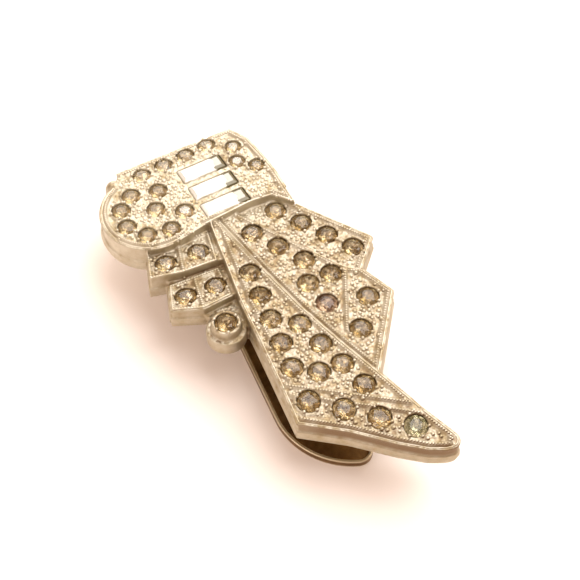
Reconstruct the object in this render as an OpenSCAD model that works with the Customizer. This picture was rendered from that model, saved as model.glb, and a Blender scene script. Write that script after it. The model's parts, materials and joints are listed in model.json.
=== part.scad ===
// Dress clip: a cast, stone-set front with fan pleats and a scroll head, on a hinged lever.
// It lies on its back. Z is up out of the front, Y runs from tail to head.
// The origin is the middle of the lever's flat underside, on which it rests.

/* [Front] */
// Width of the cast front, from the scroll to the outer pleat's tip
front_w = 26; // [24.5:0.25:30]
// Length of the cast front, from the tail's tip to the head's corner
front_l = 46.5; // [44:0.25:54]
// Thickness of the front under the top pleat
front_t = 3.1; // [2.7:0.1:4]
// Drop from one pleat to the next
pleat_drop = 0.3; // [0.15:0.05:0.4]
// Rise of the head and scroll above the top pleat
head_rise = 0.4; // [0.2:0.1:0.8]
// Thickness of the lower lip that runs round the front
lip_t = 1.3; // [0.8:0.1:1.8]
// How far the lower lip stands out
lip_w = 0.2; // [0.1:0.05:0.35]
// Radius of the scroll at the end of the ribbon
scroll_r = 5.25; // [5:0.05:5.6]
// Radius of the knob at the ribbon's end
knob_r = 1; // [0.8:0.05:1.3]
// Radius of the round at the tail's tip
tip_r = 0.8; // [0.6:0.05:1]
// Slope of the tail's band, in degrees
tail_slope = 8; // [3:1:12]
// Slope of the band along the head's top edge, in degrees
head_slope = 10; // [6:1:20]
// Slope of the overlapped steps, in degrees
step_slope = 8; // [4:1:10]

/* [Raised borders] */
// Width of a raised border line
rim_w = 0.35; // [0.25:0.05:0.45]
// Height of a raised border line
rim_h = 0.2; // [0.1:0.05:0.3]
// Distance of a border line from its pleat's edge
rim_in = 0.3; // [0.2:0.05:0.4]
// Width of the plain margin on the top pleat's left side
margin_w = 0.8; // [0.6:0.05:1]
// Height of the thin collar round each stone
collar_h = 0.1; // [0.05:0.05:0.2]
// Width of the thin collar round each stone
collar_w = 0.16; // [0.1:0.02:0.2]

/* [Stones] */
// Diameter of the stones in the pleats, steps and collet
stone_d = 2.3; // [2:0.05:2.45]
// Diameter of the stones in the head and scroll
small_stone_d = 2; // [1.8:0.05:2.1]
// Diameter of the stones beside the head's right edge
edge_stone_d = 1.8; // [1.6:0.05:1.9]
// Length of a baguette
baguette_l = 5.2; // [4.4:0.1:5.3]
// Width of a baguette
baguette_w = 2; // [1.6:0.05:2.2]
// Distance between the middles of two baguettes
baguette_pitch = 2.75; // [2.5:0.05:2.8]
// Height of a baguette's table above its widest line
baguette_rise = 0.35; // [0.2:0.05:0.5]
// Depth of a baguette below its widest line
baguette_depth = 0.9; // [0.7:0.05:1.1]
// Gap between a stone and its seat
seat_gap = 0.05; // [0.03:0.01:0.08]
// How deep a stone's widest line lies below the metal
stone_sink = 0.12; // [0.05:0.01:0.2]

/* [Collet] */
// Radius of the round boss under the single set stone
boss_r = 2.1; // [1.9:0.05:2.4]
// Height of that boss above the back
boss_h = 1.7; // [1.4:0.1:2]
// Wall of the collet's ring round its stone
collet_wall = 0.35; // [0.25:0.05:0.5]
// Height of the collet above the back
collet_h = 2.7; // [2.5:0.1:3.2]

/* [Lever] */
// Length of the lever
lever_l = 28.8; // [26:0.2:31]
// Width of the lever
lever_w = 7.9; // [7.4:0.1:9]
// Thickness of the lever's sheet
sheet_t = 0.6; // [0.5:0.05:0.8]
// Height of the lever's turned-up edge, above the resting face
edge_h = 0.95; // [0.85:0.05:1.3]
// Thickness of that edge
edge_t = 0.35; // [0.25:0.05:0.5]
// Radius of the lever's broad shoulder
shoulder_r = 8.5; // [7.5:0.1:9]
// Radius of the lever's small corner
corner_r = 1.6; // [1:0.1:2.2]
// Clear height of the jaw, from the lever's sheet to the front's back
jaw_gap = 4.5; // [4.2:0.1:5]
// Width of a tooth at its root
tooth_w = 1.5; // [1.1:0.1:2]
// Gap between a tooth's point and the front's back
tooth_gap = 0.2; // [0.1:0.05:0.3]

/* [Hinge] */
// Diameter of the hinge pin
pin_d = 1; // [0.8:0.05:1.2]
// Running gap round the pin
pin_gap = 0.05; // [0.03:0.01:0.08]
// Distance from the hinge pin to the lever's heel
heel_l = 2.4; // [2.2:0.05:2.6]
// Height of the hinge pin above the resting face
pin_z = 2.6; // [2.4:0.05:2.8]
// Radius of the lever's ears round the pin
ear_r = 1.5; // [1.2:0.05:1.7]
// Thickness of a lug on the front's back
lug_t = 0.9; // [0.7:0.05:1.2]
// Radius of a lug round the pin
lug_r = 1.3; // [1.1:0.05:1.5]
// Gap between an ear and its neighbours
side_gap = 0.15; // [0.1:0.05:0.2]
// Radius of the pin's heads
pin_head_r = 0.8; // [0.7:0.05:1]
// Thickness of the pin's heads
pin_head_t = 0.35; // [0.25:0.05:0.5]

/* [Hidden] */
$fn = 48;
over = 0.1;
back_z = sheet_t + jaw_gap;
top_z = back_z + front_t;
head_z = top_z + head_rise;
lever_y = lever_l / 2;
pin_y = lever_y - heel_l;
lug_x = lever_w / 2 - sheet_t - side_gap - lug_t;
pin_l = lever_w + 2 * side_gap;

// Places in the plan are shares of the width and length, measured from the origin.
// Along Y the shares of the whole front run over this span.
share_span = 1.02;
function at(share) = [share[0] * front_w, share[1] * front_l / share_span];
function plan(shares) = [for (share = shares) at(share)];
function unit(v) = v / norm(v);
function heading(from, to) = atan2(to[1] - from[1], to[0] - from[0]);

// An outline moved outwards by a distance; its points run anticlockwise.
function grown(points, by) =
    let (n = len(points))
    [for (i = [0 : n - 1])
        let (before = unit(points[i] - points[(i + n - 1) % n]))
        let (after = unit(points[(i + 1) % n] - points[i]))
        let (side_a = [before[1], -before[0]], side_b = [after[1], -after[0]])
        points[i] + by * (side_a + side_b) / (1 + side_a * side_b)];

// Corners that several pleats share
head_left = [-0.123, 0.317];
cb_line = [[-0.073, 0.335], [0.005, 0.162], [0.075, 0.023], [0.152, -0.098], [0.228, -0.206]];
ab_line = [[0.023, 0.335], [0.212, 0.175], [0.319, 0.086], [0.376, 0.068]];
ridge_left = [-0.137, -0.167];
ridge_right = [0.31, -0.327];

// Outlines, anticlockwise from the head's end
pleat_c = plan(concat([[-0.104, 0.335], [-0.133, 0.088], [-0.134, -0.043], ridge_left, ridge_right],
                      [for (i = [4 : -1 : 0]) cb_line[i]]));
pleat_b = plan(concat(cb_line, [[0.446, -0.018]], [for (i = [3 : -1 : 0]) ab_line[i]]));
pleat_a = plan(concat(ab_line, [[0.49, 0.146], [0.269, 0.307], [0.187, 0.366]]));
tail_edge = plan([ridge_left, [-0.139, -0.25], [0.024, -0.31], [0.171, -0.377],
                  [0.262, -0.4125], [0.318, -0.4265], [0.3444, -0.4288]]);
head = plan([[-0.374, 0.553], [-0.408, 0.495], [-0.25, 0.296], head_left, [-0.009, 0.329],
             [0.092, 0.3395], [0.186, 0.339], [0.262, 0.297], [0.255, 0.352], [0.249, 0.407],
             [0.233, 0.468], [0.208, 0.531], [0.161, 0.585]]);

// The tail's tip is a round that its lower edge runs into and that its right edge leaves.
tip_start = heading(tail_edge[5], tail_edge[6]) - 90;
tip_at = tail_edge[6] - tip_r * [cos(tip_start), sin(tip_start)];
tip_reach = norm(at(ridge_right) - tip_at);
tip_end = heading(tip_at, at(ridge_right)) - acos(tip_r / tip_reach);
function tip_point(turn) = tip_at + tip_r * [cos(turn), sin(turn)];
tail = concat(tail_edge, [tip_point(tip_end), at(ridge_right)]);
tip_cuts = 6;
tail_round = concat(tail_edge,
                    [for (i = [1 : tip_cuts])
                        tip_point(tip_start + (tip_end - tip_start) * i / tip_cuts)],
                    [at(ridge_right)]);

step_1 = plan([[-0.392, 0.308], [-0.427, 0.225], [-0.29, 0.212], [-0.143, 0.214], [-0.12, 0.312]]);
step_2 = plan([[-0.362, 0.203], [-0.396, 0.128], [-0.276, 0.104], [-0.149, 0.116], [-0.145, 0.208]]);
// Their metal runs on into the head, the top pleat and the step above, so no slot is left between them.
step_1_metal = concat([for (i = [0 : 2]) step_1[i]], plan([[-0.104, 0.216], [-0.09, 0.335]]));
step_2_metal = concat(plan([[-0.346, 0.238]]), [for (i = [1 : 2]) step_2[i]],
                      plan([[-0.112, 0.1195], [-0.112, 0.238]]));
fold_line = [[0.198, -0.077], [0.315, 0.081]];
scroll_at = at([-0.313, 0.408]);
knob_at = at([-0.405, 0.518]);
collet_at = at([-0.22, 0.049]);
baguettes_at = at([-0.021, 0.422]);
baguette_turn = 7;

// A face is a plane: its height at the hinge line, a point and the heading of that line,
// and its slope down to the right of it.
tail_face = [top_z, at(ridge_left), heading(at(ridge_left), at(ridge_right)), tail_slope];
head_band = 2.6;
head_turn = heading(head[12], head[0]);
head_face = [head_z, head[0] + head_band * [-sin(head_turn), cos(head_turn)], head_turn, head_slope];
a_face = [top_z - 2 * pleat_drop, [0, 0], 0, 0];
b_face = [top_z - pleat_drop, [0, 0], 0, 0];
c_face = [top_z, [0, 0], 0, 0];
scroll_face = [head_z, [0, 0], 0, 0];
step_drops = [0.8, 1.1];
step_1_face = [top_z - step_drops[0], step_1[0], 0, -step_slope];
step_2_face = [top_z - step_drops[1], step_2[0], 0, -step_slope];
collet_face = [back_z + collet_h, [0, 0], 0, 0];

function past(face, p) =
    (p - face[1]) * [sin(face[2]), -cos(face[2])];
function height(face, p) = face[0] - tan(face[3]) * past(face, p);
function on(face, p) = [p[0], p[1], height(face, p)];

// Rows of round stones: name, face, first and last place, number, diameter
rows = [
    ["pleat_a_stone", a_face, [0.177, 0.307], [0.396, 0.136], 4, stone_d],
    ["pleat_b_stone", b_face, [0.04, 0.261], [0.254, 0.081], 4, stone_d],
    ["pleat_b_lower_stone", b_face, [0.15, 0.076], [0.18, 0.009], 2, stone_d],
    ["pleat_b_outer_stone", b_face, [0.343, -0.01], [0.253, -0.083], 2, stone_d],
    ["pleat_c_stone", c_face, [-0.047, 0.15], [-0.068, -0.123], 5, stone_d],
    ["pleat_c_inner_stone", c_face, [0.038, -0.024], [0.154, -0.222], 4, stone_d],
    ["pleat_c_middle_stone", c_face, [0.019, -0.156], [0.019, -0.156], 1, stone_d],
    ["tail_stone", tail_face, [-0.069, -0.213], [0.2555, -0.3545], 4, stone_d],
    ["step_1_stone", step_1_face, [-0.338, 0.259], [-0.197, 0.262], 2, stone_d],
    ["step_2_stone", step_2_face, [-0.318, 0.158], [-0.19, 0.16], 2, stone_d],
    ["head_top_stone", head_face, [-0.28, 0.521], [0.034, 0.554], 4, small_stone_d],
    ["head_side_stone", scroll_face, [0.134, 0.519], [0.119, 0.471], 2, edge_stone_d],
    ["head_edge_stone", scroll_face, [0.188, 0.441], [0.188, 0.441], 1, edge_stone_d],
    ["scroll_inner_stone", scroll_face, [-0.288, 0.404], [-0.246, 0.456], 2, small_stone_d],
    ["collet_stone", collet_face, [-0.22, 0.049], [-0.22, 0.049], 1, stone_d],
];

// The scroll's outer stones wind outwards, as shares of its radius.
scroll_count = 6;
scroll_start = 115;
scroll_step = 44;
scroll_first = 0.552;
scroll_widening = 0.034;
function scroll_reach(i) = scroll_r * (scroll_first + scroll_widening * i);
function scroll_place(i) =
    let (turn = scroll_start + scroll_step * i)
    scroll_at + scroll_reach(i) * [cos(turn), sin(turn)];

// One entry a stone: name, face, place, diameter, turn of its facets
facet_turn = 17;
function row_name(row, i) = row[4] == 1 ? row[0] : str(row[0], "_", i + 1);
function row_place(row, i) =
    row[4] == 1 ? at(row[2]) : at(row[2] + (row[3] - row[2]) * i / (row[4] - 1));
stones = concat(
    [for (row = rows) for (i = [0 : row[4] - 1])
        [row_name(row, i), row[1], row_place(row, i), row[5], facet_turn * i]],
    [for (i = [0 : scroll_count - 1])
        [str("scroll_stone_", i + 1), scroll_face, scroll_place(i), small_stone_d, facet_turn * i]]);
baguette_count = 3;
function baguette_name(i) = str("baguette_", i + 1);
function baguette_place(i) =
    baguettes_at + (1 - i) * baguette_pitch * [-sin(baguette_turn), cos(baguette_turn)];

// Moves its children onto a face at a place in the plan.
module seated(face, p) {
    translate(on(face, p))
        rotate([0, 0, face[2]])
            rotate([face[3], 0, 0])
                rotate([0, 0, -face[2]])
                    children();
}

// Everything above a face, to cut a block's top with
module above(face) {
    reach = front_l;
    translate([face[1][0], face[1][1], face[0]])
        rotate([0, 0, face[2]])
            rotate([face[3], 0, 0])
                translate([-reach, -reach, 0])
                    cube([2 * reach, 2 * reach, reach]);
}

// A block of the casting with its lower lip
module block(points, face, tallest) {
    difference() {
        translate([0, 0, back_z])
            linear_extrude(tallest - back_z)
                polygon(points);
        above(face);
    }
    translate([0, 0, back_z])
        linear_extrude(lip_t)
            polygon(grown(points, lip_w));
}

// A raised border line between two points of a surface
module border(from, to) {
    run = to - from;
    flat = norm([run[0], run[1]]);
    translate(from)
        rotate([0, -atan2(run[2], flat), heading(from, to)])
            translate([-rim_w / 2, -rim_w / 2, -rim_w])
                cube([norm(run) + rim_w, rim_w, rim_w + rim_h]);
}

// Border lines along chosen sides of an outline, a distance inside it
module borders(points, sides, face, inset) {
    line = grown(points, -inset - rim_w / 2);
    for (i = sides)
        border(on(face, line[i]), on(face, line[(i + 1) % len(line)]));
}

// Head corners lie on its flat part or on the sloping band, whichever is lower.
function head_on(p) = [p[0], p[1], min(height(head_face, p), head_z)];

module head_borders(sides, inset) {
    line = grown(head, -inset - rim_w / 2);
    for (i = sides)
        border(head_on(line[i]), head_on(line[(i + 1) % len(line)]));
}

// The raised fold across the middle pleat's outer half
module fold_border() {
    fold = plan(fold_line);
    border(on(b_face, fold[0]), on(b_face, fold[1]));
}

// The line beside the top pleat's plain margin stops where the pleat narrows.
module margin_border() {
    intersection() {
        borders(pleat_c, [0, 1, 2], c_face, margin_w);
        linear_extrude(2 * top_z)
            polygon(grown(pleat_c, -rim_in));
    }
}

module scroll_border() {
    translate([scroll_at[0], scroll_at[1], head_z - rim_w])
        difference() {
            cylinder(h = rim_w + rim_h, r = scroll_r - rim_in);
            translate([0, 0, -over])
                cylinder(h = 2 * rim_w + rim_h, r = scroll_r - rim_in - rim_w);
            // The ribbon opens the ring towards the head.
            rotate([0, 0, heading(head[2], head[1]) - 90])
                translate([over - rim_w, -scroll_r, -over])
                    cube([2 * scroll_r, 2 * scroll_r, 2 * scroll_r]);
        }
}

module knob() {
    translate([knob_at[0], knob_at[1], back_z])
        cylinder(h = lip_t, r = knob_r + lip_w);
    translate([knob_at[0], knob_at[1], back_z])
        cylinder(h = top_z - knob_r / 2 - back_z, r = knob_r);
    translate([knob_at[0], knob_at[1], top_z - knob_r / 2])
        sphere(r = knob_r);
}

module scroll() {
    translate([scroll_at[0], scroll_at[1], back_z]) {
        cylinder(h = head_z - back_z, r = scroll_r);
        cylinder(h = lip_t, r = scroll_r + lip_w);
    }
}

module collet() {
    translate([collet_at[0], collet_at[1], back_z]) {
        cylinder(h = boss_h, r = boss_r);
        cylinder(h = collet_h, r = stone_d / 2 + seat_gap + collet_wall);
    }
}

// The web that joins the steps and the collet to the top pleat, just lower than the boss
web_drop = 0.1;
web_right = plan([[-0.107, 0.03], [-0.107, 0.16]]);
module web() {
    translate([0, 0, back_z])
        linear_extrude(boss_h - web_drop)
            polygon(concat([step_2[2], collet_at], web_right));
}

// A raised frame with a bar up its middle, which makes two cells of a step
module step_frame(points, face) {
    raised = [face[0] + rim_h, face[1], face[2], face[3]];
    low = points[2];
    high = (points[0] + points[4]) / 2;
    difference() {
        translate([0, 0, back_z])
            linear_extrude(top_z + rim_h - back_z)
                difference() {
                    polygon(points);
                    difference() {
                        polygon(grown(points, -rim_w));
                        translate(low)
                            rotate([0, 0, heading(low, high)])
                                translate([0, -rim_w / 2])
                                    square([norm(high - low), rim_w]);
                    }
                }
        above(raised);
    }
}

// Seats in the casting, each with its collar
module collars() {
    for (stone = stones)
        seated(stone[1], stone[2])
            translate([0, 0, -collar_w])
                cylinder(h = collar_w + collar_h, r = stone[3] / 2 + seat_gap + collar_w);
}

// A cut stone's heights as shares of its diameter
crown_share = 0.17;
girdle_share = 0.04;
pavilion_share = 0.42;
// The seats' cutters reach this far above the metal, and end below in a small flat.
seat_reach = 1;
seat_flat_r = 0.14;
module stone_seat(d) {
    wide = d / 2 + seat_gap;
    ledge = stone_sink + girdle_share * d + seat_gap;
    translate([0, 0, -ledge])
        cylinder(h = ledge + seat_reach, r = wide);
    translate([0, 0, -ledge - pavilion_share * d])
        cylinder(h = pavilion_share * d + seat_gap, r1 = seat_flat_r, r2 = wide);
}

module baguette_seat() {
    wall = baguette_w + 2 * seat_gap;
    run = baguette_l + 2 * seat_gap;
    deep = stone_sink + baguette_depth + seat_gap;
    translate([-run / 2, -wall / 2, -deep])
        cube([run, wall, deep + seat_reach]);
}

module lug(side) {
    x = side > 0 ? lug_x : -lug_x - lug_t;
    translate([x, pin_y, pin_z])
        rotate([90, 0, 90])
            difference() {
                union() {
                    cylinder(h = lug_t, r = lug_r);
                    translate([-lug_r, 0, 0])
                        cube([2 * lug_r, back_z - pin_z + over, lug_t]);
                }
                translate([0, 0, -over])
                    cylinder(h = lug_t + 2 * over, r = pin_d / 2 + pin_gap);
            }
}

module front() {
    color("#d9c6a0") {
        difference() {
            union() {
                block(pleat_a, a_face, top_z);
                block(pleat_b, b_face, top_z);
                block(pleat_c, c_face, top_z);
                block(tail_round, tail_face, top_z);
                block(head, head_face, head_z);
                block(step_1_metal, step_1_face, top_z);
                block(step_2_metal, step_2_face, top_z);
                scroll();
                knob();
                collet();
                web();
                borders(pleat_a, [3, 4, 5], a_face, rim_in);
                borders(pleat_b, [0 : 8], b_face, rim_in);
                fold_border();
                margin_border();
                borders(pleat_c, [4 : 8], c_face, rim_in);
                borders(pleat_c, [3], c_face, rim_in);
                borders(tail, [0], tail_face, margin_w);
                borders(tail, [1 : 8], tail_face, rim_in);
                head_borders([3 : 12], rim_in);
                scroll_border();
                step_frame(step_1, step_1_face);
                step_frame(step_2, step_2_face);
                collars();
            }
            for (stone = stones)
                seated(stone[1], stone[2])
                    stone_seat(stone[3]);
            for (i = [0 : baguette_count - 1])
                seated(scroll_face, baguette_place(i))
                    rotate([0, 0, baguette_turn])
                        baguette_seat();
        }
        lug(-1);
        lug(1);
    }
}

// A round brilliant: table, eight kites, stars and halves, girdle, and a pointed back.
// Its rings of points run from the table down, and its widest line is at z = 0.
table_share = 0.56;
kite_share = 0.8;
back_kite_share = 0.42;
function ring(n, r, z, turn) =
    [for (i = [0 : n - 1]) [r * cos(turn + 360 * i / n), r * sin(turn + 360 * i / n), z]];

module brilliant(d) {
    r = d / 2;
    crown = crown_share * d;
    girdle = girdle_share * d;
    depth = pavilion_share * d;
    half = 360 / 16;
    kite_r = kite_share * r;
    kite_z = crown * (r - kite_r * cos(half)) / (r * (1 - table_share));
    back_r = back_kite_share * r;
    back_z_kite = -girdle - depth * (r - back_r * cos(half)) / r;
    points = concat(
        ring(8, table_share * r, crown, 0),
        ring(8, kite_r, kite_z, half),
        ring(16, r, 0, 0),
        ring(16, r, -girdle, 0),
        ring(8, back_r, back_z_kite, half),
        [[0, 0, -girdle - depth]]);
    faces = concat(
        [[for (i = [7 : -1 : 0]) i]],
        [for (i = [0 : 7]) [i, (i + 1) % 8, 8 + i]],
        [for (i = [0 : 7]) [i, 8 + i, 16 + 2 * i, 8 + (i + 7) % 8]],
        [for (i = [0 : 7]) [8 + i, 17 + 2 * i, 16 + 2 * i]],
        [for (i = [0 : 7]) [8 + i, 16 + (2 * i + 2) % 16, 17 + 2 * i]],
        [for (i = [0 : 15]) [16 + i, 16 + (i + 1) % 16, 32 + (i + 1) % 16, 32 + i]],
        [for (i = [0 : 7]) [48 + i, 32 + 2 * i, 33 + 2 * i]],
        [for (i = [0 : 7]) [48 + i, 33 + 2 * i, 32 + (2 * i + 2) % 16]],
        [for (i = [0 : 7]) [56, 48 + (i + 7) % 8, 32 + 2 * i, 48 + i]]);
    polyhedron(points, faces);
}

module stone_piece(stone) {
    color("#9a8c66")
        seated(stone[1], stone[2])
            translate([0, 0, -stone_sink])
                rotate([0, 0, stone[4]])
                    brilliant(stone[3]);
}

// A step-cut baguette's cuts as shares of its width, and its half-way steps as shares of each cut
crown_cut_share = 0.2;
back_cut_share = 0.33;
crown_step = [0.5, 0.25];
back_step = [0.5, 0.33];
// It is built from nested rectangles: height and inset, from the back up.
module baguette_piece(i) {
    crown_cut = crown_cut_share * baguette_w;
    back_cut = back_cut_share * baguette_w;
    levels = [[-baguette_depth, back_cut],
              [-back_step[0] * baguette_depth, back_step[1] * back_cut],
              [-2 * seat_gap, 0],
              [0, 0],
              [crown_step[0] * baguette_rise, crown_step[1] * crown_cut],
              [baguette_rise, crown_cut]];
    points = [for (level = levels)
        let (x = baguette_l / 2 - level[1], y = baguette_w / 2 - level[1])
        each [[x, y, level[0]], [-x, y, level[0]], [-x, -y, level[0]], [x, -y, level[0]]]];
    last = 4 * (len(levels) - 1);
    faces = concat(
        [[0, 1, 2, 3]],
        [[last + 3, last + 2, last + 1, last]],
        [for (k = [0 : len(levels) - 2]) for (j = [0 : 3])
            [4 * k + j, 4 * k + 4 + j, 4 * k + 4 + (j + 1) % 4, 4 * k + (j + 1) % 4]]);
    color("#f2efe6")
        seated(scroll_face, baguette_place(i))
            translate([0, 0, -stone_sink])
                rotate([0, 0, baguette_turn])
                    polyhedron(points, faces);
}

// The pin is riveted outside the lever's ears.
module hinge_pin() {
    color("#b9b4a8")
        translate([-pin_l / 2, pin_y, pin_z])
            rotate([0, 90, 0]) {
                cylinder(h = pin_l, r = pin_d / 2);
                translate([0, 0, -pin_head_t])
                    cylinder(h = pin_head_t, r = pin_head_r);
                translate([0, 0, pin_l])
                    cylinder(h = pin_head_t, r = pin_head_r);
            }
}

// The lever's outline, drawn in by a distance: a broad shoulder on the left that runs
// into a small corner on the right
module lever_outline(inset) {
    half_w = lever_w / 2 - inset;
    broad = shoulder_r - inset;
    small = corner_r - inset;
    small_at = [half_w - small, -lever_y + corner_r];
    broad_x = -half_w + broad;
    fall = sqrt(pow(broad - small, 2) - pow(broad_x - small_at[0], 2));
    broad_at = [broad_x, small_at[1] + fall];
    meet_x = small_at[0] - small * (broad_x - small_at[0]) / (broad - small);
    top = lever_y - inset;
    intersection() {
        translate(broad_at)
            circle(r = broad, $fn = 96);
        translate([-half_w, -lever_y])
            square([half_w + meet_x, lever_l / 2]);
    }
    translate(small_at)
        circle(r = small);
    translate([-half_w, broad_at[1]])
        square([half_w + meet_x, top - broad_at[1]]);
    translate([meet_x, small_at[1]])
        square([half_w - meet_x, top - small_at[1]]);
}

module ear(side) {
    x = side > 0 ? lever_w / 2 - sheet_t : -lever_w / 2;
    translate([x, pin_y, pin_z])
        rotate([90, 0, 90])
            difference() {
                union() {
                    cylinder(h = sheet_t, r = ear_r);
                    translate([-ear_r, -pin_z, 0])
                        cube([ear_r + heel_l, pin_z, sheet_t]);
                }
                translate([0, 0, -over])
                    cylinder(h = sheet_t + 2 * over, r = pin_d / 2 + pin_gap);
            }
}

// Two teeth bent up near the lever's end, to bite into the cloth: their places as shares of the
// lever's width and length
tooth_x = 0.215;
tooth_y_left = -0.285;
tooth_y_right = -0.36;
module tooth(side) {
    tall = back_z - tooth_gap;
    x = tooth_x * lever_w;
    y = (side > 0 ? tooth_y_right : tooth_y_left) * lever_l;
    translate([side * x, y, 0])
        rotate([90, 0, 0])
            linear_extrude(sheet_t)
                polygon([[-tooth_w / 2, 0], [tooth_w / 2, 0], [0, tall]]);
}

module lever() {
    color("#a08c68") {
        linear_extrude(sheet_t)
            lever_outline(0);
        linear_extrude(edge_h)
            difference() {
                lever_outline(0);
                lever_outline(edge_t);
            }
        ear(-1);
        ear(1);
        tooth(-1);
        tooth(1);
    }
}

front();
hinge_pin();
lever();
for (i = [0 : baguette_count - 1])
    baguette_piece(i);
for (stone = stones)
    stone_piece(stone);
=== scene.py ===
# Dress clip of plated cast metal, set with smoky rhinestones and clear baguettes.
# Metres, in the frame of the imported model: Z up out of the stones, Y towards the head.
import json
import math
import random
import bpy
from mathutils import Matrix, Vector
from mathutils.bvhtree import BVHTree

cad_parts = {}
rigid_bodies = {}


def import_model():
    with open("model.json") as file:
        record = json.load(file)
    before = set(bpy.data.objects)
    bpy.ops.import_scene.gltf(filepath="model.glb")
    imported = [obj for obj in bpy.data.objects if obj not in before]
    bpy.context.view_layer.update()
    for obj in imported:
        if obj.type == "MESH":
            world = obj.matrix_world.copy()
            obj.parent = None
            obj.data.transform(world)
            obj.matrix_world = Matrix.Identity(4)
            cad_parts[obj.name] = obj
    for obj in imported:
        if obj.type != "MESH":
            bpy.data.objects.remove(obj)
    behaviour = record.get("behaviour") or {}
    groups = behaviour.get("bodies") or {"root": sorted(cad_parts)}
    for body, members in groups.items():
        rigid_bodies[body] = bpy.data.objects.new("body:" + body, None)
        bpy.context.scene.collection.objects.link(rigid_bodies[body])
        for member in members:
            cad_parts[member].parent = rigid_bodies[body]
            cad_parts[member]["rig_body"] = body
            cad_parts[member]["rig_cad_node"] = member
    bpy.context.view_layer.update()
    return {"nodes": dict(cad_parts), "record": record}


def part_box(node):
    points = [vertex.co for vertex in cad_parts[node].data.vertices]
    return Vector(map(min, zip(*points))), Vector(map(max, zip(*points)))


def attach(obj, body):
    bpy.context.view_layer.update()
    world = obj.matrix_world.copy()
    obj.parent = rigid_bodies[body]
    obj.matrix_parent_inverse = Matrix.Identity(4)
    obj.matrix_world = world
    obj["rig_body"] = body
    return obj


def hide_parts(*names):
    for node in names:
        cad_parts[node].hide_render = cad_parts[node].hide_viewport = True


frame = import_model()
mm = 0.001


# An sRGB colour as the linear one that Blender takes
def hexColour(code):
    channels = [int(code[i:i + 2], 16) / 255 for i in (1, 3, 5)]
    return [c / 12.92 if c <= 0.04045 else ((c + 0.055) / 1.055) ** 2.4 for c in channels] + [1]


def addNode(material, kind, settings=None, links=None):
    node = material.node_tree.nodes.new("ShaderNode" + kind)
    for name, value in (settings or {}).items():
        if name == "stops":  # colour ramp stops: place and colour
            ramp = node.color_ramp.elements
            while len(ramp) < len(value):
                ramp.new(1)
            for stop, (place, colour) in zip(ramp, value):
                stop.position, stop.color = place, colour
        elif isinstance(name, int) or name in node.inputs:
            node.inputs[name].default_value = value
        else:
            setattr(node, name, value)
    for name, socket in (links or {}).items():
        material.node_tree.links.new(socket, node.inputs[name])
    return node


def newMaterial(name):
    material = bpy.data.materials.new(name)
    material.use_nodes = True
    material.node_tree.nodes.clear()
    return material


def grey(value):
    return [value, value, value, 1]


# The two ends of a range, named as a node names them
def ends(side, pair, unit=1):
    return {side + " Min": pair[0] * unit, side + " Max": pair[1] * unit}


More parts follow.
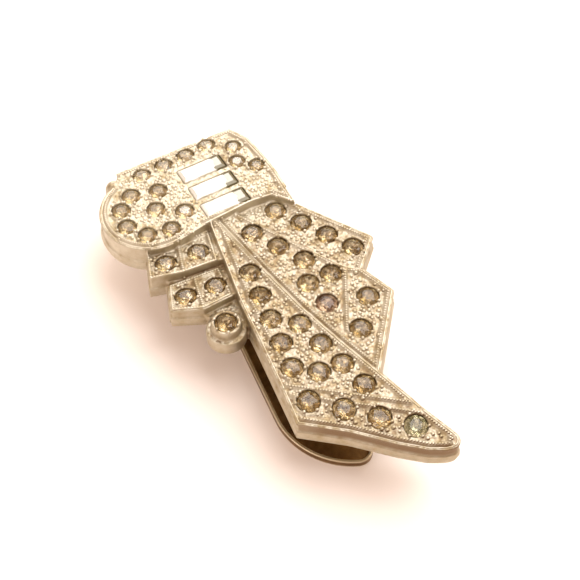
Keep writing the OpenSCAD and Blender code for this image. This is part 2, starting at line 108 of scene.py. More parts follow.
# Cast pot metal under a thin pale gold plate: satin, brighter on the head, a painted light, and brown in
# its corners and creases with old polish, dirt and painted shade.
def platedCasting(name, look):
    material = newMaterial(name)
    place = addNode(material, "TexCoord").outputs["Object"]
    shape = addNode(material, "NewGeometry")
    facing = addNode(material, "SeparateXYZ", links={0: shape.outputs["Normal"]})
    spot = addNode(material, "SeparateXYZ", links={0: place})

    # The plate is mottled on what faces up, more even on the walls, and palest on the head, a painted
    # light.
    mottle = addNode(material, "TexNoise",
                     {"Scale": 1 / (look["blotch"] * mm), "Detail": 4, "Roughness": 0.6}, {"Vector": place})
    level = addNode(material, "MapRange", {**ends("From", look["topside"]), "To Min": look["wallMottle"]},
                    {"Value": facing.outputs["Z"]})
    blotch = addNode(material, "Mix", {2: look["evenMottle"]},
                     {0: level.outputs["Result"], 3: mottle.outputs["Fac"]})
    inHead = addNode(material, "MapRange", ends("From", look["head"], mm), {"Value": spot.outputs["Y"]})
    paleness = addNode(material, "Math", {"operation": "MULTIPLY_ADD", 1: look["headPale"]},
                       {0: inHead.outputs["Result"], 2: blotch.outputs[0]})
    colours = [hexColour(look[tone]) for tone in ("shade", "plate", "headPlate")]
    plate = addNode(material, "ValToRGB", {"stops": list(zip(look["plateStops"], colours))},
                    {"Fac": paleness.outputs["Value"]})

    # Wear follows the corners of the dense mesh: hollow corners darken, as dirt and painted shade. Where
    # little light gets in, in creases, round each grain and under each rim, the dirt colour is painted
    # shade as well as dirt.
    cornerWearAndShade = addNode(material, "ValToRGB",
                   {"stops": [(look["dirtAndShadeEdge"], grey(0)), (look["rubEdge"], grey(1))]},
                   {"Fac": shape.outputs["Pointiness"]})
    crevice = addNode(material, "AmbientOcclusion", {"samples": 6, "Distance": look["crevice"] * mm})
    lightReach = addNode(material, "ValToRGB",
                    {"stops": [(look["fullShadeBelow"], grey(0)), (look["noShadeAbove"], grey(1))]},
                    {"Fac": crevice.outputs["AO"]})

    # The crumbly, pitted cast ground lies only on what faces up; the walls are smooth.
    upward = addNode(material, "MapRange", {**ends("From", look["upward"]), "To Max": look["crumbDepth"]},
                     {"Value": facing.outputs["Z"]})
    crumbs = addNode(material, "TexVoronoi", {"Scale": 1 / (look["crumb"] * mm), "feature": "SMOOTH_F1"},
                     {"Vector": place})
    relief = addNode(material, "Math", {"operation": "MULTIPLY"},
                     {0: crumbs.outputs["Distance"], 1: upward.outputs["Result"]})
    # The gaps between the crumbs darken: dirt and painted shade.
    gaps = addNode(material, "MapRange",
                   {**ends("From", look["gap"]), "To Min": 1, "To Max": look["gapPlateShare"]},
                   {"Value": relief.outputs["Value"]})
    pits = addNode(material, "TexNoise", {"Scale": 1 / (look["pit"] * mm), "Detail": 2, "Roughness": 0.7},
                   {"Vector": place})
    pitDepth = addNode(material, "MapRange", {"From Min": look["pitEdge"] + look["pitSoft"],
                                              "From Max": look["pitEdge"]},
                       {"Value": pits.outputs["Fac"], "To Max": upward.outputs["Result"]})

    # Painted shade: the tail's walls that face its end are darkened above the lower lip.
    turned = addNode(material, "MapRange", {**ends("From", look["paintedWallShadeTurn"]), "To Max": look["paintedWallShade"]},
                     {"Value": facing.outputs["Y"]})
    tailWall = addNode(material, "MapRange", ends("From", look["paintedWallShadeAlong"], mm),
                       {"Value": spot.outputs["Y"], "To Max": turned.outputs["Result"]})
    paintedWallShadeMask = addNode(material, "MapRange", ends("From", look["paintedWallShadeHeight"], mm),
                        {"Value": spot.outputs["Z"], "To Max": tailWall.outputs["Result"]})

    # All of these darken the plate, and on the head a painted light lifts most of it.
    pitsAndWallShade = addNode(material, "Math", {"operation": "MAXIMUM"},
                     {0: pitDepth.outputs["Result"], 1: paintedWallShadeMask.outputs["Result"]})
    plateShowing = addNode(material, "Math", {"operation": "SUBTRACT"},
                    {0: lightReach.outputs["Color"], 1: pitsAndWallShade.outputs["Value"]})
    plateLeft = addNode(material, "Math", {"operation": "MULTIPLY"},
                       {0: cornerWearAndShade.outputs["Color"], 1: plateShowing.outputs["Value"]})
    headPaintedLight = addNode(material, "Math", {"operation": "MULTIPLY", 1: look["headLightLift"]},
                         {0: inHead.outputs["Result"]})
    bright = addNode(material, "Math", {"operation": "MULTIPLY_ADD", "use_clamp": True},
                     {0: plateLeft.outputs["Value"], 1: gaps.outputs["Result"],
                      2: headPaintedLight.outputs["Value"]})
    # Where the bright share is low, the plate takes the dirt colour, which stands for dirt and painted
    # shade.
    dirtyAndShaded = addNode(material, "Mix", {"data_type": "RGBA", 6: hexColour(look["dirtAndShade"])},
                    {0: bright.outputs["Value"], 7: plate.outputs["Color"]})

    grit = addNode(material, "TexNoise", {"Scale": 1 / (look["grit"] * mm), "Detail": 3}, {"Vector": place})
    rough = addNode(material, "MapRange", ends("To", look["rough"]), {"Value": grit.outputs["Fac"]})
    bump = addNode(material, "Bump", {"Strength": 1.0, "Distance": look["crumb"] * mm, "invert": True},
                   {"Height": relief.outputs["Value"]})
    fine = addNode(material, "Bump", {"Strength": look["gritDepth"], "Distance": look["grit"] * mm},
                   {"Height": grit.outputs["Fac"], "Normal": bump.outputs["Normal"]})
    surface = addNode(material, "BsdfPrincipled", {"Metallic": 1.0},
                      {"Base Color": dirtyAndShaded.outputs[2], "Roughness": rough.outputs["Result"],
                       "Normal": fine.outputs["Normal"]})
    addNode(material, "OutputMaterial", links={"Surface": surface.outputs["BSDF"]})
    return material


# Foil-backed lead glass: a clear tinted crown over a mirror-like foil on the pointed back,
# so light goes in at the table and comes back broken up by the facets.
def foilBackedGlass(name, look):
    material = newMaterial(name)
    place = addNode(material, "TexCoord").outputs["Object"]
    shape = addNode(material, "NewGeometry")
    # The foil's colour is painted in small cells of dark, foil and bright: painted reflections and glints
    # of its facets.
    chips = addNode(material, "TexVoronoi", {"Scale": 1 / (look["glint"] * mm)}, {"Vector": place})
    brightness = addNode(material, "SeparateColor", links={0: chips.outputs["Color"]})
    colours = [hexColour(look[tone]) for tone in ("dark", "foil", "spark")]
    foilColour = addNode(material, "ValToRGB", {"stops": list(zip(look["chipStops"], colours))},
                         {"Fac": brightness.outputs["Red"]})
    # The foil of the stones in the head is painted paler, a painted light.
    spot = addNode(material, "SeparateXYZ", links={0: place})
    inHead = addNode(material, "MapRange", {**ends("From", look["head"], mm), "To Max": look["headFoilLight"]},
                     {"Value": spot.outputs["Y"]})
    headLitFoil = addNode(material, "Mix", {"data_type": "RGBA", 7: hexColour(look["headFoil"])},
                        {0: inHead.outputs["Result"], 6: foilColour.outputs["Color"]})
    drift = addNode(material, "TexNoise", {"Scale": 1 / (look["drift"] * mm), "Detail": 1},
                    {"Vector": place})
    tint = addNode(material, "ValToRGB",
                   {"stops": list(zip(look["driftStops"], map(hexColour, look["glass"])))},
                   {"Fac": drift.outputs["Fac"]})
    foil = addNode(material, "BsdfPrincipled", {"Metallic": 1.0, "Roughness": look["foilRough"]},
                   {"Base Color": headLitFoil.outputs[2]})
    glass = addNode(material, "BsdfPrincipled",
                    {"Transmission Weight": 1.0, "IOR": look["ior"], "Roughness": look["glassRough"],
                     "Specular IOR Level": look["shine"]},
                    {"Base Color": tint.outputs["Color"]})
    # Faces that point up are the glass crown, and the rest is foil, seen from either side.
    normal = addNode(material, "SeparateXYZ", links={0: shape.outputs["True Normal"]})
    side = addNode(material, "MapRange", {"To Min": 1, "To Max": -1},
                   {"Value": shape.outputs["Backfacing"]})
    up = addNode(material, "Math", {"operation": "MULTIPLY"},
                 {0: normal.outputs["Z"], 1: side.outputs["Result"]})
    crown = addNode(material, "Math", {"operation": "GREATER_THAN", 1: look["crownFrom"]},
                    {0: up.outputs["Value"]})
    mix = addNode(material, "MixShader", links={0: crown.outputs["Value"], 1: foil.outputs["BSDF"],
                                                2: glass.outputs["BSDF"]})
    addNode(material, "OutputMaterial", links={"Surface": mix.outputs["Shader"]})
    return material


# Clear step-cut glass silvered on its back: the flat table is painted white, a painted light, and the
# steps, which turn away from it, are painted the greyer silver, a painted shade.
def silveredGlass(name, look):
    material = newMaterial(name)
    place = addNode(material, "TexCoord").outputs["Object"]
    shape = addNode(material, "NewGeometry")
    facing = addNode(material, "SeparateXYZ", links={0: shape.outputs["True Normal"]})
    # Faces that look up take the table's painted white.
    table = addNode(material, "MapRange", ends("From", look["tableTilt"]), {"Value": facing.outputs["Z"]})
    cloud = addNode(material, "TexNoise", {"Scale": 1 / (look["cloud"] * mm), "Detail": 2},
                    {"Vector": place})
    colours = [hexColour(look[tone]) for tone in ("step", "table")]
    silver = addNode(material, "ValToRGB", {"stops": list(zip(look["cloudStops"], colours))},
                     {"Fac": cloud.outputs["Fac"]})
    colour = addNode(material, "Mix", {"data_type": "RGBA", 7: hexColour(look["table"])},
                     {0: table.outputs["Result"], 6: silver.outputs["Color"]})
    # A dark reflection is painted on the silver at the stone's far end, up to a ragged edge.
    along = addNode(material, "Mapping", {"Rotation": (0, 0, -math.radians(look["turn"]))},
                    {"Vector": place})
    length = addNode(material, "SeparateXYZ", links={0: along.outputs["Vector"]})
    ragged = addNode(material, "TexNoise", {"Scale": 1 / (look["ragged"] * mm), "Detail": 3},
                     {"Vector": place})
    shifted = addNode(material, "Math", {"operation": "MULTIPLY_ADD", 1: look["edge"] * 2 * mm},
                      {0: ragged.outputs["Fac"], 2: length.outputs["X"]})
    darkReflectionEdge = [look["agedFrom"] + share * look["edge"] for share in look["darkReflectionFade"]]
    darkReflectionFade = addNode(material, "MapRange", ends("From", darkReflectionEdge, mm), {"Value": shifted.outputs["Value"]})
    aged = addNode(material, "Mix", {"data_type": "RGBA", 7: hexColour(look["aged"])},
                   {0: darkReflectionFade.outputs["Result"], 6: colour.outputs[2]})
    surface = addNode(material, "BsdfPrincipled",
                      {"Metallic": look["metal"], "Roughness": look["rough"], "Coat Weight": look["shine"],
                       "Coat Roughness": look["coatRough"]},
                      {"Base Color": aged.outputs[2]})
    addNode(material, "OutputMaterial", links={"Surface": surface.outputs["BSDF"]})
    return material


# Brass sheet painted dark brown for the shade under the plate, a painted shade, with painted highlights
# along its turned-up edge and its underside, and the fine lines that rolling left along the lever. The
# drawn steel wire is a greyer, shinier metal with the same painted highlight from a height on.
def paintedLightSheet(name, look):
    material = newMaterial(name)
    place = addNode(material, "TexCoord").outputs["Object"]
    height = addNode(material, "SeparateXYZ", links={0: place})
    rim = addNode(material, "MapRange", ends("From", look["rim"], mm), {"Value": height.outputs["Z"]})
    under = addNode(material, "MapRange", ends("From", look["under"], mm), {"Value": height.outputs["Z"]})
    paintedHighlight = addNode(material, "Math", {"operation": "MAXIMUM"},
                     {0: rim.outputs["Result"], 1: under.outputs["Result"]})
    cloud = addNode(material, "TexNoise",
                    {"Scale": 1 / (look["cloud"] * mm), "Detail": 5, "Roughness": 0.65}, {"Vector": place})
    toneAndShade = addNode(material, "ValToRGB",
                    {"stops": list(zip(look["cloudStops"], map(hexColour, look["toneAndShade"])))},
                    {"Fac": cloud.outputs["Fac"]})
    colour = addNode(material, "Mix", {"data_type": "RGBA", 7: hexColour(look["paintedHighlight"])},
                     {0: paintedHighlight.outputs["Value"], 6: toneAndShade.outputs["Color"]})
    stretch = addNode(material, "Mapping", {"Scale": (1, look["stretch"], 1)}, {"Vector": place})
    rolled = addNode(material, "TexNoise", {"Scale": 1 / (look["line"] * mm), "Detail": 2},
                     {"Vector": stretch.outputs["Vector"]})
    rough = addNode(material, "MapRange", ends("To", look["rough"]), {"Value": rolled.outputs["Fac"]})
    bump = addNode(material, "Bump", {"Strength": look["lineDepth"], "Distance": look["line"] * mm},
                   {"Height": rolled.outputs["Fac"]})
    surface = addNode(material, "BsdfPrincipled", {"Metallic": 1.0},
                      {"Base Color": colour.outputs[2], "Roughness": rough.outputs["Result"],
                       "Normal": bump.outputs["Normal"]})
    addNode(material, "OutputMaterial", links={"Surface": surface.outputs["BSDF"]})
    return material


# Sizes, places and heights are in mm. A pair of them runs from where a thing starts to where it is full.
castLook = {
    # The dirt colour is dirt and painted shade together.
    "plate": "#CAC2AF", "shade": "#A99878", "headPlate": "#D5CAB2", "dirtAndShade": "#866F55",
    # Mottling of the plate, and how much of it is left on the walls
    "blotch": 1.3, "plateStops": (0.4, 0.58, 0.85), "evenMottle": 0.49, "wallMottle": 0.3,
    "topside": (0.5, 0.9), "upward": (0.85, 0.97),  # how much a face looks up, from 0 to 1
    # Hollow corners from dirt and painted shade to rubbed, and dark places from full painted shade and dirt
    # to none
    "dirtAndShadeEdge": 0.36, "rubEdge": 0.49, "crevice": 0.45, "fullShadeBelow": 0.25, "noShadeAbove": 0.85,
    # The crumbs of the cast ground, the gaps between them, darkened with dirt and painted shade, and pits
    "crumb": 0.3, "crumbDepth": 0.5, "gap": (0.2, 0.34), "gapPlateShare": 0.2,
    "pit": 0.3, "pitEdge": 0.36, "pitSoft": 0.1,
    # Painted shade on walls that face the tail's end, from a place along the tail and a height on
    "paintedWallShade": 0.95, "paintedWallShadeTurn": (-0.3, -0.8), "paintedWallShadeAlong": (-9, -13), "paintedWallShadeHeight": (6.2, 6.7),
    "head": (11, 16), "headLightLift": 0.5, "headPale": 0.07,  # where the head starts, and how much painted light lifts its darkening and its colour
    "grit": 0.06, "gritDepth": 0.25, "rough": (0.48, 0.62),
}
castMetal = platedCasting("platedCastMetal", castLook)
# Beads, ridges and grains are a paler copy of the cast metal: their rubbed high points and a painted
# highlight.
beadMetal = platedCasting("rubbedAndLitBeadMetal", {
    **castLook, "plate": "#D6CEBC", "shade": "#B8AA8C", "headPlate": "#DED4BE", "dirtAndShadeEdge": 0.3,
    "rubEdge": 0.45, "rough": (0.4, 0.52), "crumbDepth": 0.0})
smokyLook = {
    "glass": ("#F4F0E3", "#FAF8F0"), "drift": 5.0, "driftStops": (0.4, 0.6),  # two tints, drifting
    "ior": 1.5, "glassRough": 0.07, "shine": 0.08, "crownFrom": 0.2,
    "foil": "#D0BC94", "dark": "#A48F6A", "spark": "#FBF5E2", "foilRough": 0.22,
    "glint": 0.3, "chipStops": (0.25, 0.5, 0.85),  # painted chips of light in the foil
    # The head's stones have painted light on their foil.
    "head": castLook["head"], "headFoil": "#EADFC8", "headFoilLight": 0.6,
}
brownLook = {**smokyLook, "glass": ("#F3E6DD", "#F7EDE6"), "foil": "#B59B8A", "dark": "#8F7969"}
paleLook = {**smokyLook, "glass": ("#F3F5EE", "#F8FAF2"), "foil": "#E2DDC8", "dark": "#ABA78C"}
silverLook = {
    "table": "#F8F6F2", "step": "#B5AC92", "tableTilt": (0.8, 0.97),
    "cloud": 1.5, "cloudStops": (0.35, 0.7), "metal": 0.25, "rough": 0.3, "shine": 1.0, "coatRough": 0.03,
    # The far end of each baguette has a painted dark reflection.
    "turn": 7, "aged": "#5E5430", "darkReflectionLength": 1.5, "edge": 0.5, "darkReflectionFade": (1, 1.4), "ragged": 0.6,
    "endDrop": 1.3,  # from the corner of the stone's box down to the middle of its far end
}
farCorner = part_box("baguette_2")[1] / mm
baguetteTurn = math.radians(silverLook["turn"])
farEnd = (farCorner.x * math.cos(baguetteTurn)
          + (farCorner.y - silverLook["endDrop"]) * math.sin(baguetteTurn))
silverLook["agedFrom"] = farEnd - silverLook["darkReflectionLength"]
stoneMaterials = {
    "smoky_stone": foilBackedGlass("smokyRhinestone", smokyLook),
    "brown_stone": foilBackedGlass("brownRhinestone", brownLook),
    "pale_stone": foilBackedGlass("paleRhinestone", paleLook),
    "clear_baguette": silveredGlass("silveredBaguette", silverLook),
}
# The lever's browns are painted shade from the plate above it, and its edge and underside carry a painted
# highlight.
brassLook = {
    "toneAndShade": ("#64492B", "#97774D"), "paintedHighlight": "#CDBFA3", "rim": (0.72, 0.9), "under": (0.3, 0.1),
    "cloud": 3.0, "cloudStops": (0.35, 0.68), "line": 0.12, "lineDepth": 0.25, "stretch": 0.06,
    "rough": (0.25, 0.5),
}
wireLook = {**brassLook, "toneAndShade": ("#8C8578", "#B8B1A2"), "paintedHighlight": "#CFC8B8", "rim": (5, 6), "cloud": 1.5,
            "line": 0.1, "rough": (0.2, 0.4)}
leverMetal = paintedLightSheet("shadedBrassSheet", brassLook)
pinMetal = paintedLightSheet("drawnSteelWire", wireLook)
print("materials made")


def selectOnly(piece):
    bpy.ops.object.select_all(action="DESELECT")
    piece.select_set(True)
    bpy.context.view_layer.objects.active = piece


def applyModifier(piece, kind, settings):
    selectOnly(piece)
    modifier = piece.modifiers.new(kind, kind)
    for name, value in settings.items():
        setattr(modifier, name, value)
    bpy.ops.object.modifier_apply(modifier=modifier.name)


def finishPiece(piece, material, body="front"):
    piece.data.materials.clear()
    piece.data.materials.append(material)
    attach(piece, body)


# A copy of a node with rounded edges and filled corners, as metal has them
def softenedCopy(node, name, look):
    piece = frame["nodes"][node].copy()
    piece.data = piece.data.copy()
    piece.name = name
    bpy.context.scene.collection.objects.link(piece)
    piece.parent = None
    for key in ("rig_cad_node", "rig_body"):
        del piece[key]
    selectOnly(piece)
    bpy.ops.object.mode_set(mode="EDIT")
    bpy.ops.mesh.select_all(action="SELECT")
    bpy.ops.mesh.remove_doubles(threshold=look["weld"] * mm)
    bpy.ops.object.mode_set(mode="OBJECT")
    applyModifier(piece, "REMESH", {"mode": "VOXEL", "voxel_size": look["voxel"] * mm})
    applyModifier(piece, "SMOOTH", {"factor": look["factor"], "iterations": look["smoothing"]})
    triangles = 2 * len(piece.data.polygons)
    applyModifier(piece, "DECIMATE", {"ratio": min(1, look["triangles"] / triangles)})
    bpy.ops.object.shade_smooth()
    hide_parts(node)
    print(name, "has", len(piece.data.polygons), "triangles")
    return piece


softLook = {"weld": 0.001, "factor": 0.5, "smoothing": 3}
castFront = softenedCopy("front", "castFront", {**softLook, "voxel": 0.11, "triangles": 190000})
finishPiece(castFront, castMetal)
leverSheet = softenedCopy("lever", "leverSheet", {**softLook, "voxel": 0.09, "triangles": 60000})
finishPiece(leverSheet, leverMetal, "lever")
slots = {row["node"]: row["material_slot"] for row in frame["record"]["subparts"]}
for name, node in frame["nodes"].items():
    if slots[name] in stoneMaterials:
        node.data.materials.clear()
        node.data.materials.append(stoneMaterials[slots[name]])
print("casting, lever and stones dressed")

# The pin is a drawn wire with rivet heads domed over outside the lever's ears.
pinLook = {"wireRadius": 0.5, "headThickness": 0.35, "dome": 0.14, "domeSteps": 4,
           "sides": 32, "smoothTurn": 40}
pinLow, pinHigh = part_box("hinge_pin")
pinMiddle = (pinLow + pinHigh) / 2
headRadius = (pinHigh.z - pinLow.z) / 2
headX = (pinHigh.x - pinLow.x) / 2 - pinLook["headThickness"] * mm / 2
bpy.ops.object.select_all(action="DESELECT")
pinParts = []
for x, radius, depth in ((0, pinLook["wireRadius"] * mm, 2 * headX),
                         (-headX, headRadius, pinLook["headThickness"] * mm),
                         (headX, headRadius, pinLook["headThickness"] * mm)):
    bpy.ops.mesh.primitive_cylinder_add(vertices=pinLook["sides"], radius=radius, depth=depth,
                                        rotation=(0, math.pi / 2, 0),
                                        location=pinMiddle + Vector((x, 0, 0)))
    pinParts.append(bpy.context.object)
for part in pinParts:
    part.select_set(True)
bpy.ops.object.join()
hingePin = bpy.context.object
hingePin.name = "rivetedPin"
bpy.ops.object.transform_apply(location=True, rotation=True, scale=True)
applyModifier(hingePin, "BEVEL", {"width": pinLook["dome"] * mm, "segments": pinLook["domeSteps"],
                                  "limit_method": "ANGLE"})
bpy.ops.object.shade_smooth_by_angle(angle=math.radians(pinLook["smoothTurn"]))
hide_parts("hinge_pin")
finishPiece(hingePin, pinMetal)

# Places on the casting are shares of its width and length, and from tail to head the shares run over
# the span. An outline goes round anticlockwise, and its sides are numbered from 0.
clip = {
    "width": 26, "length": 46.5, "span": 1.02,
    "face": 7,  # metal lower than this isn't the decorated face
    "above": 20,  # heights are felt for from here down
}
innerFold = [(-0.073, 0.335), (0.005, 0.162), (0.075, 0.023), (0.152, -0.098), (0.228, -0.206)]
outerFold = [(0.023, 0.335), (0.212, 0.175), (0.319, 0.086), (0.376, 0.068)]
middleFold = [(0.198, -0.077), (0.315, 0.081)]
ridge = [(-0.137, -0.167), (0.31, -0.327)]
outlines = {
    "topPleat": [(-0.104, 0.335), (-0.133, 0.088), (-0.134, -0.043), *ridge, *innerFold[::-1]],
    "middlePleat": [*innerFold, (0.446, -0.018), *outerFold[::-1]],
    "lowPleat": [*outerFold, (0.49, 0.146), (0.269, 0.307), (0.187, 0.366)],
    "tail": [ridge[0], (-0.139, -0.25), (0.024, -0.31), (0.171, -0.377), (0.262, -0.4125),
             (0.318, -0.4265), (0.344, -0.429), (0.377, -0.404), ridge[1]],
    "head": [(-0.374, 0.553), (-0.408, 0.495), (-0.25, 0.296), (-0.123, 0.317), (-0.009, 0.329),
             (0.092, 0.3395), (0.186, 0.339), (0.262, 0.297), (0.255, 0.352), (0.249, 0.407),
             (0.233, 0.468), (0.208, 0.531), (0.161, 0.585)],
    "upperStep": [(-0.392, 0.308), (-0.427, 0.225), (-0.29, 0.212), (-0.143, 0.214), (-0.12, 0.312)],
    "lowerStep": [(-0.362, 0.203), (-0.396, 0.128), (-0.276, 0.104), (-0.149, 0.116), (-0.145, 0.208)],
}
# Arcs, with their radius in mm and the turns of their points in degrees
scroll = {"middle": (-0.313, 0.408), "radius": 5.25, "turns": range(120, 316, 3)}
tip = {"middle": (0.349, -0.4115), "radius": 0.8, "turns": range(-98, 28, 25)}
tipChord = ("tail", 6)  # the tip is round beyond this side of its outline


def onPlan(share):
    return Vector((share[0] * clip["width"], share[1] * clip["length"] / clip["span"]))


def ray(turn):
    return Vector((math.cos(math.radians(turn)), math.sin(math.radians(turn))))


# An outline drawn in by a distance
def drawnIn(points, by):
    drawn = []
    for i, point in enumerate(points):
        before = (point - points[i - 1]).normalized()
        after = (points[(i + 1) % len(points)] - point).normalized()
        sideA, sideB = Vector((before.y, -before.x)), Vector((after.y, -after.x))
        drawn.append(point - by * (sideA + sideB) / (1 + sideA.dot(sideB)))
    return drawn


castTree = BVHTree.FromObject(castFront, bpy.context.evaluated_depsgraph_get())


# How high the casting is at a place in mm, and -1 beside it
def castHeight(x, y):
    hit = castTree.ray_cast(Vector((x, y, clip["above"])) * mm, Vector((0, 0, -1)))
    return hit[0].z / mm if hit[0] else -1


# Copies of one low ball, joined into one mesh; each has its place and radius in mm.
def joinedBalls(name, look, places):
    bpy.ops.object.select_all(action="DESELECT")
    bpy.ops.mesh.primitive_uv_sphere_add(segments=look["segments"], ring_count=look["rings"], radius=1)
    ball = bpy.context.object
    corners = [corner.co.copy() for corner in ball.data.vertices]
    faces = [list(face.vertices) for face in ball.data.polygons]
    bpy.data.objects.remove(ball)
    vertices, polygons = [], []
    for x, y, z, radius in places:
        start = len(vertices)
        middle = Vector((x, y, z))
        vertices += [(middle + radius * corner) * mm for corner in corners]
        polygons += [[start + i for i in face] for face in faces]
    mesh = bpy.data.meshes.new(name)
    mesh.from_pydata(vertices, [], polygons)
    piece = bpy.data.objects.new(name, mesh)
    bpy.context.scene.collection.objects.link(piece)
    selectOnly(piece)
    bpy.ops.object.shade_smooth()
    print(name, "has", len(places), "balls")
    return piece


# Runs that meet at a slight turn become one, so that a wire goes round an arc without a break.
def chained(runs, look):
    chains = []
    for run in runs:
        points = [Vector(point) for point in run]
        if chains and (chains[-1][-1] - points[0]).length < look["meet"]:
            turn = (chains[-1][-1] - chains[-1][-2]).angle(points[1] - points[0])
            if turn < math.radians(look["slight"]):
                chains[-1][-1] = (chains[-1][-1] + points[0]) / 2
                chains[-1] += points[1:]
                continue
        chains.append(points)
    return chains


# Wires of metal along lines of points in mm, joined into one mesh
def joinedWires(name, look, lines):
    curve = bpy.data.curves.new(name, "CURVE")
    curve.dimensions = "3D"
    curve.bevel_depth = look["radius"] * mm
    curve.bevel_resolution = 2
    curve.use_fill_caps = True
    for line in lines:
        spline = curve.splines.new("POLY")
        spline.points.add(len(line) - 1)
        for point, place in zip(spline.points, line):
            point.co = (*(place * mm), 1)
    piece = bpy.data.objects.new(name, curve)
    bpy.context.scene.collection.objects.link(piece)
    selectOnly(piece)
    bpy.ops.object.convert(target="MESH")
    bpy.ops.object.shade_smooth()
    piece = bpy.context.object
    print(name, "has", len(lines), "wires")
    return piece


# Milgrain: a row of tiny beads rolled along each raised border. Sizes on the casting are in mm.
beadLook = {"segments": 8, "rings": 5, "radius": 0.165, "pitch": 0.3, "sink": 0.05, "border": 0.35,
            "inset": 0.3, "margin": 0.8, "proud": 0.08}
# Outline, its sides, and how far in from them the border starts
borderSides = [
    ("lowPleat", (3, 4, 5), "inset"),
    ("middlePleat", range(9), "inset"),
    ("topPleat", range(3), "margin"),
    ("topPleat", range(3, 9), "inset"),
    ("tail", (0,), "margin"),
    ("tail", range(1, 9), "inset"),
    ("head", range(3, 13), "inset"),
    ("upperStep", range(5), None),
    ("lowerStep", range(5), None),
]
beadLines = [[onPlan(share) for share in middleFold]]
for outline, sides, inset in borderSides:
    distance = (beadLook[inset] if inset else 0) + beadLook["border"] / 2
    line = drawnIn([onPlan(share) for share in outlines[outline]], distance)
    beadLines += [[line[i], line[(i + 1) % len(line)]] for i in sides]
for outline in ("upperStep", "lowerStep"):  # the bar between two cells
    corners = [onPlan(share) for share in outlines[outline]]
    beadLines.append([corners[2], (corners[0] + corners[4]) / 2])
scrollRadius = scroll["radius"] - beadLook["inset"] - beadLook["border"] / 2
scrollArc = [onPlan(scroll["middle"]) + scrollRadius * ray(turn) for turn in scroll["turns"]]
beads = []
for start, end in beadLines + list(zip(scrollArc, scrollArc[1:])):
    steps = max(1, round((end - start).length / beadLook["pitch"]))
    side = Vector((start.y - end.y, end.x - start.x)).normalized() * beadLook["border"]
    for i in range(steps):
        spot = start.lerp(end, i / steps)
        top = castHeight(*spot)
        beside = min(castHeight(*(spot + side)), castHeight(*(spot - side)))
        if beadLook["proud"] < top - beside and top > clip["face"]:
            beads.append((spot.x, spot.y, top - beadLook["sink"], beadLook["radius"]))
milgrain = joinedBalls("milgrain", beadLook, beads)
finishPiece(milgrain, beadMetal)

# The outline of each field has a fine ridge along its top. Where its wall stands free, it also has
# a rolled lip, and a wide roll that rounds the wall's lower edge.
edgeLook = {"pitch": 0.5, "meet": 0.2, "slight": 30}  # runs this near and this straight, in degrees, join
ridgeLook = {"radius": 0.09, "in": 0.12, "beside": 0.1, "level": 0.08}
lipLook = {"radius": 0.17, "down": 0.17, "shoulder": 0.22, "above": 6, "out": 0.35, "free": 1.0}
rollLook = {"radius": 0.62, "in": 0.3, "height": 5.76}


# The short sides of an arc: where its wall stands, and where its ridge runs
def arcSides(arc):
    middle = onPlan(arc["middle"])
    rays = [ray(turn) for turn in arc["turns"]]
    reach = arc["radius"] - ridgeLook["in"]
    return [(middle + arc["radius"] * a, middle + arc["radius"] * b, middle + reach * a, middle + reach * b)
            for a, b in zip(rays, rays[1:])]


edgeSides = arcSides(scroll)
for outline, sides, inset in borderSides:
    corners = [onPlan(share) for share in outlines[outline]]
    ridgeLine = drawnIn(corners, ridgeLook["in"])
    for i in sides:
        after = (i + 1) % len(corners)
        edgeSides += (arcSides(tip) if (outline, i) == tipChord
                      else [(corners[i], corners[after], ridgeLine[i], ridgeLine[after])])
ridgeWires, lipWires, rollWires = [], [], []
for wallStart, wallEnd, ridgeStart, ridgeEnd in edgeSides:
    steps = max(1, round((wallEnd - wallStart).length / edgeLook["pitch"]))
    inward = Vector((wallStart.y - wallEnd.y, wallEnd.x - wallStart.x)).normalized()
    ridgeRun, lipRun = [], []
    for i in range(steps + 1):
        spot = ridgeStart.lerp(ridgeEnd, i / steps)
        top = castHeight(*spot)
        beside = castHeight(*(spot + ridgeLook["beside"] * inward))
        if top > clip["face"] and abs(top - beside) < ridgeLook["level"]:
            ridgeRun.append((spot.x, spot.y, top))
        wall = wallStart.lerp(wallEnd, i / steps)
        top = castHeight(*(wall + lipLook["shoulder"] * inward))
        outside = castHeight(*(wall - lipLook["out"] * inward))
        if top > lipLook["above"] and outside < top - lipLook["free"]:
            lipRun.append((wall.x, wall.y, top - lipLook["down"]))
    # A side gets its wires only where they have metal all along them.
    if len(ridgeRun) == steps + 1:
        ridgeWires.append(ridgeRun)
    if len(lipRun) == steps + 1:
        lipWires.append(lipRun)
        shift = rollLook["in"] * inward
        rollWires.append([(x + shift.x, y + shift.y, rollLook["height"]) for x, y, z in lipRun])
edgeRidges = joinedWires("edgeRidges", ridgeLook, chained(ridgeWires, edgeLook))
finishPiece(edgeRidges, beadMetal)
rolledLip = joinedWires("rolledLip", lipLook, chained(lipWires, edgeLook))
finishPiece(rolledLip, castMetal)
lowerRoll = joinedWires("lowerRoll", rollLook, chained(rollWires, edgeLook))
finishPiece(lowerRoll, castMetal)

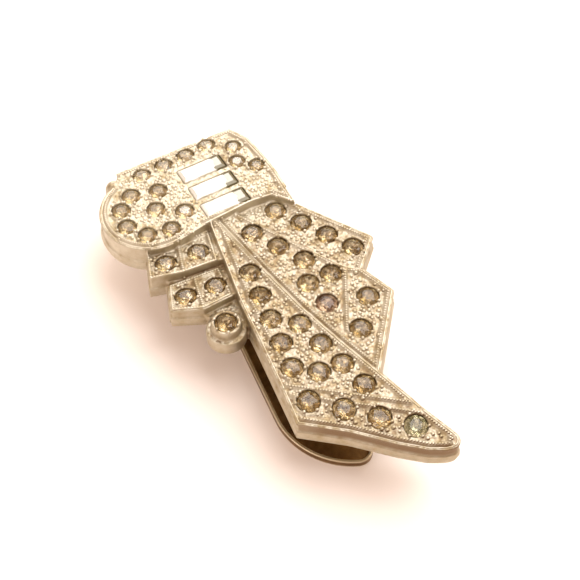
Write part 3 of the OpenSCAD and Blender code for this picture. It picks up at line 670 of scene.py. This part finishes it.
# Grains of metal raised from the ground: some hold each stone, and the rest fill the field between.
grainLook = {
    "seed": 7, "segments": 8, "rings": 5,
    "prongs": 6, "prong": 0.2, "prongOut": 0.13, "prongUp": 0.02,  # round each stone
    "field": (0.17, 0.27), "sink": 0.3, "pitch": 0.52, "jitter": 0.14, "clear": 0.3,  # between the stones
    # The ground has to be flat this far out, in six directions given in radians.
    "flat": 0.06, "reach": 0.26, "turns": (0, 1.05, 2.09, 3.14, 4.19, 5.24),
}
stoneSpots = []
for name in frame["nodes"]:
    if "stone" in name:
        low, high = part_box(name)
        middle = (low + high) / (2 * mm)
        stoneSpots.append((middle.x, middle.y, (high.x - low.x) / (2 * mm)))
random.seed(grainLook["seed"])
grains = []
for x, y, radius in stoneSpots:
    first = random.uniform(0, 360 / grainLook["prongs"])
    for i in range(grainLook["prongs"]):
        turn = math.radians(first + 360 * i / grainLook["prongs"])
        reach = radius + grainLook["prongOut"]
        spot = Vector((x + reach * math.cos(turn), y + reach * math.sin(turn)))
        grains.append((spot.x, spot.y, castHeight(*spot) + grainLook["prongUp"], grainLook["prong"]))
low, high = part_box("front")
columns = int((high.x - low.x) / mm / grainLook["pitch"])
rows = int((high.y - low.y) / mm / grainLook["pitch"])
for column in range(columns):
    for row in range(rows):
        x = low.x / mm + grainLook["pitch"] * (column + 0.5 * (row % 2))
        x += random.uniform(-1, 1) * grainLook["jitter"]
        y = low.y / mm + grainLook["pitch"] * row
        y += random.uniform(-1, 1) * grainLook["jitter"]
        top = castHeight(x, y)
        radius = random.uniform(*grainLook["field"])
        nearStone = any(math.hypot(x - a, y - b) < r + grainLook["clear"] for a, b, r in stoneSpots)
        if top < clip["face"] or nearStone:
            continue
        reach = grainLook["reach"]
        around = [castHeight(x + reach * math.cos(turn), y + reach * math.sin(turn))
                  for turn in grainLook["turns"]]
        half = len(around) // 2
        if max(abs(around[i] + around[i + half] - 2 * top) for i in range(half)) < grainLook["flat"]:
            grains.append((x, y, top - grainLook["sink"] * radius, radius))
paveGrains = joinedBalls("paveGrains", grainLook, grains)
finishPiece(paveGrains, beadMetal)


# Matt uncoated paper, an even pale ground. Its tooth is drawn coarser than real, so that it shows.
def mattPaper(name, look):
    material = newMaterial(name)
    place = addNode(material, "TexCoord").outputs["Object"]
    tooth = addNode(material, "TexNoise", {"Scale": 1 / (look["tooth"] * mm), "Detail": 2},
                    {"Vector": place})
    bump = addNode(material, "Bump", {"Strength": look["strength"], "Distance": look["depth"] * mm},
                   {"Height": tooth.outputs["Fac"]})
    surface = addNode(material, "BsdfPrincipled",
                      {"Base Color": hexColour(look["colour"]), "Roughness": look["rough"]},
                      {"Normal": bump.outputs["Normal"]})
    addNode(material, "OutputMaterial", links={"Surface": surface.outputs["BSDF"]})
    return material


floorLook = {"size": 6.0,  # in metres, so that its edges stay out of the picture
             "colour": "#FCF3EE", "rough": 0.9, "tooth": 10 / 9, "depth": 0.1, "strength": 0.05}
bpy.ops.object.select_all(action="DESELECT")
bpy.ops.mesh.primitive_plane_add(size=floorLook["size"])
floor = bpy.context.object
floor.name = "floor"
floor.data.materials.append(mattPaper("palePaper", floorLook))


# The way out to a camera or a light: its turn round the clip from the tail's side, and its height
def direction(azimuth, elevation):
    a, e = math.radians(azimuth), math.radians(elevation)
    return Vector((math.sin(a) * math.cos(e), -math.cos(a) * math.cos(e), math.sin(e)))


# The camera looks down past the tail's left side, as in the photo.
shot = {"target": Vector((1.75, 3.2, 8.2)) * mm, "azimuth": -23, "elevation": 54, "distance": 130 * mm,
        "focal": 1261, "picture": 580,  # in pixels
        "sensor": 36, "nearest": 5 * mm}
cameraData = bpy.data.cameras.new("camera")
camera = bpy.data.objects.new("camera", cameraData)
bpy.context.scene.collection.objects.link(camera)
back = direction(shot["azimuth"], shot["elevation"])
camera.location = shot["target"] + back * shot["distance"]
camera.rotation_mode = "QUATERNION"
camera.rotation_quaternion = (-back).to_track_quat("-Z", "Y")
cameraData.sensor_width = shot["sensor"]
cameraData.lens = shot["sensor"] * shot["focal"] / shot["picture"]
cameraData.clip_start = shot["nearest"]
bpy.context.scene.camera = camera

# A soft box high on the right, as the shadow falls to the lower left, and weak ones behind the head
# and on the left. Turns are in degrees, sizes and distances in metres, and power is in watts.
softBoxes = [
    {"name": "keyLight", "azimuth": 105, "elevation": 62, "distance": 0.35, "size": 0.34, "power": 1.4,
     "colour": "#FFFFFF"},
    {"name": "backLight", "azimuth": 165, "elevation": 34, "distance": 0.4, "size": 0.25, "power": 0.7,
     "colour": "#FFFAF2"},
    {"name": "leftLight", "azimuth": -75, "elevation": 32, "distance": 0.4, "size": 0.2, "power": 0.32,
     "colour": "#FFF1EA"},
]
lightPlaces = [direction(box["azimuth"], box["elevation"]) * box["distance"] for box in softBoxes]
# A small bright window, which the flat tops of the baguettes mirror to the camera
window = {"name": "window", "distance": 0.35, "size": 0.03, "power": 0.03, "colour": "#FFFFFF"}
tableMiddle = sum(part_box("baguette_2"), Vector()) / 2
mirrored = (camera.location - tableMiddle) * Vector((-1, -1, 1))
lightPlaces.append(tableMiddle + mirrored.normalized() * window["distance"])
for look, place in zip([*softBoxes, window], lightPlaces):
    lightData = bpy.data.lights.new(look["name"], "AREA")
    lightData.size = look["size"]
    lightData.energy = look["power"]
    lightData.color = hexColour(look["colour"])[:3]
    light = bpy.data.objects.new(look["name"], lightData)
    bpy.context.scene.collection.objects.link(light)
    light.location = place
    light.rotation_mode = "QUATERNION"
    light.rotation_quaternion = light.location.to_track_quat("Z", "Y")
roomLook = {"colour": "#EBD3C1", "strength": 0.93}
world = bpy.data.worlds.new("room")
bpy.context.scene.world = world
world.use_nodes = True
background = world.node_tree.nodes["Background"]
background.inputs["Color"].default_value = hexColour(roomLook["colour"])
background.inputs["Strength"].default_value = roomLook["strength"]
bpy.context.scene.view_settings.view_transform = "Standard"
print("floor, camera and lights placed")
